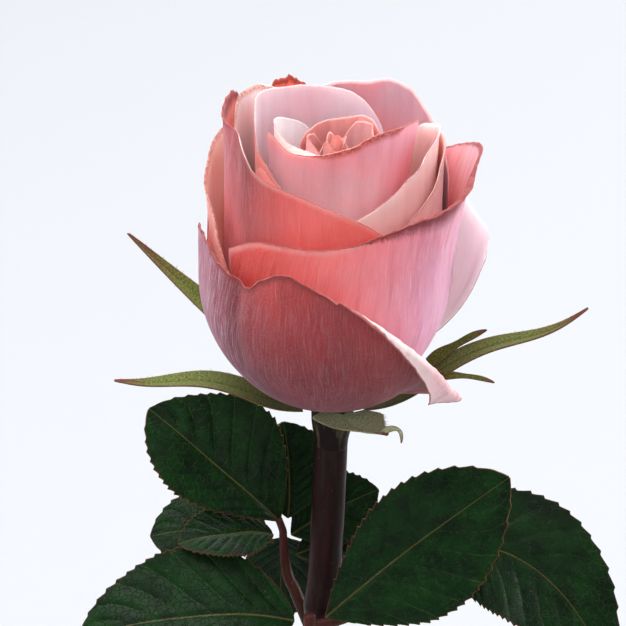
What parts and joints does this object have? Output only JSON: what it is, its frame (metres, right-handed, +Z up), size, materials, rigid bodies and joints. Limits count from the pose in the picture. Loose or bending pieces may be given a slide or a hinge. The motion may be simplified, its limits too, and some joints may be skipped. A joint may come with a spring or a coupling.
{
  "type": "cut rose",
  "caption": "Cut rose: one half-open salmon-pink bloom with green sepals on a short dark stem with two compound leaves.",
  "frame": {"origin": "middle of the stem's flat cut end", "axes": "+Z up the stem towards the bloom; the viewer who sees the outermost petal from the front looks along +Y"},
  "size_m": [0.1095, 0.064, 0.2423],
  "materials": {
    "outer_petals": "soft satin petal, dusty pink outside, salmon inside",
    "inner_petals": "soft satin petal, salmon pink with paler edges",
    "sepals": "matt downy green",
    "hip": "matt green",
    "stem": "smooth dark burgundy skin",
    "leaf_stalks": "smooth olive brown",
    "leaves": "waxy dark green with paler veins"
  },
  "bodies": {
    "root": {"hip": "hip", "leaflet_back_dark": "leaves", "leaflet_back_left": "leaves", "leaflet_back_low_left": "leaves", "leaflet_back_low_right": "leaves", "leaflet_back_right": "leaves", "leaflet_back_top": "leaves", "leaflet_back_up": "leaves", "leaflet_front_end": "leaves", "leaflet_front_left": "leaves", "leaflet_front_right": "leaves", "petal_arch_back": "inner_petals", "petal_bud_1": "inner_petals", "petal_bud_2": "inner_petals", "petal_bud_3": "inner_petals", "petal_bud_4": "inner_petals", "petal_bud_5": "inner_petals", "petal_bud_6": "inner_petals", "petal_cup_front": "inner_petals", "petal_cup_left": "inner_petals", "petal_cup_right": "inner_petals", "petal_inner_back": "inner_petals", "petal_inner_front": "inner_petals", "petal_inner_left": "inner_petals", "petal_inner_right": "inner_petals", "petal_outer_back": "outer_petals", "petal_outer_front": "outer_petals", "petal_outer_left": "outer_petals", "petal_outer_right": "outer_petals", "petal_second_back": "inner_petals", "petal_second_left": "inner_petals", "petal_second_right": "inner_petals", "petal_third_front": "inner_petals", "petal_third_left": "inner_petals", "petal_third_right": "inner_petals", "petal_wrap_right": "outer_petals", "petiole_back": "leaf_stalks", "petiole_front": "leaf_stalks", "rachis_front": "leaf_stalks", "sepal_back": "sepals", "sepal_front": "sepals", "sepal_left": "sepals", "sepal_left_back": "sepals", "sepal_right": "sepals", "stem": "stem"}
  },
  "joints": []
}
